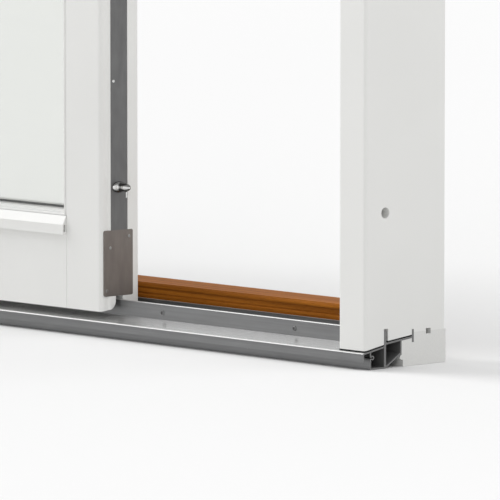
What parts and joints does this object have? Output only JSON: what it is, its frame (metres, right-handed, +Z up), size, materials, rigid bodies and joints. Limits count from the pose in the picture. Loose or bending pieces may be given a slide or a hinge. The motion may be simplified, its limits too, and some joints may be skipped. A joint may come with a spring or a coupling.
{
  "type": "glass sliding patio door",
  "caption": "Sliding patio door: timber frame, aluminium rail threshold with oak cover, a fixed light and a glazed leaf on rollers with an edge lock strip.",
  "frame": {"origin": "on the floor, at the middle of the width and of the overall depth", "axes": "+X to the right seen from outdoors, +Y indoors, +Z up; the leaf slides along X"},
  "size_m": [2.23, 0.166, 2.1],
  "materials": {
    "painted_timber": "white satin paint on timber",
    "painted_aluminium": "white powder coat",
    "aluminium": "natural anodised, fine drawn lines along the extrusion",
    "core": "matt white moulded insulating block",
    "oak": "oiled oak",
    "steel": "brushed stainless",
    "polished_steel": "turned and polished",
    "glass": "clear float glass",
    "gasket": "matt black",
    "spacer": "grey warm-edge bar",
    "nylon": "black moulded nylon",
    "handle": "satin stainless",
    "brush": "grey pile weather strip"
  },
  "bodies": {
    "frame": {"sill_profile": "aluminium", "top_guide": "aluminium", "sill_core": "core", "oak_sill": "oak", "fixed_base": "painted_timber", "jamb_right": "painted_timber", "jamb_left": "painted_timber", "head": "painted_timber", "fixed_wall_stile": "painted_timber", "fixed_meeting_stile": "painted_timber", "fixed_bottom_rail": "painted_timber", "fixed_top_rail": "painted_timber", "meeting_brush": "brush", "fixed_glass_outer": "glass", "fixed_glass_inner": "glass", "fixed_glass_spacer": "spacer", "fixed_gasket": "gasket", "fixed_beads": "painted_timber"},
    "sliding_leaf": {"leaf_lock_stile": "painted_timber", "leaf_meeting_stile": "painted_timber", "leaf_bottom_rail": "painted_timber", "leaf_top_rail": "painted_timber", "corner_plate_bottom": "steel", "corner_plate_top": "steel", "leaf_glass_outer": "glass", "leaf_glass_inner": "glass", "leaf_glass_spacer": "spacer", "leaf_gasket": "gasket", "leaf_beads": "painted_timber", "locking_pin_1": "polished_steel", "locking_pin_2": "polished_steel", "locking_pin_3": "polished_steel", "locking_pin_4": "polished_steel", "roller_housing_lock": "steel", "roller_wheels_lock": "nylon", "guide_shoe_lock": "nylon", "roller_housing_meeting": "steel", "roller_wheels_meeting": "nylon", "guide_shoe_meeting": "nylon", "drip_bar": "painted_aluminium", "lock_strip": "steel", "inside_handle": "handle", "outside_pull": "handle"}
  },
  "joints": [
    {"name": "leaf_slide", "type": "slide", "parent": "frame", "child": "sliding_leaf", "axis": [1, 0, 0], "range_m": [-0.426, 0.511]}
  ]
}
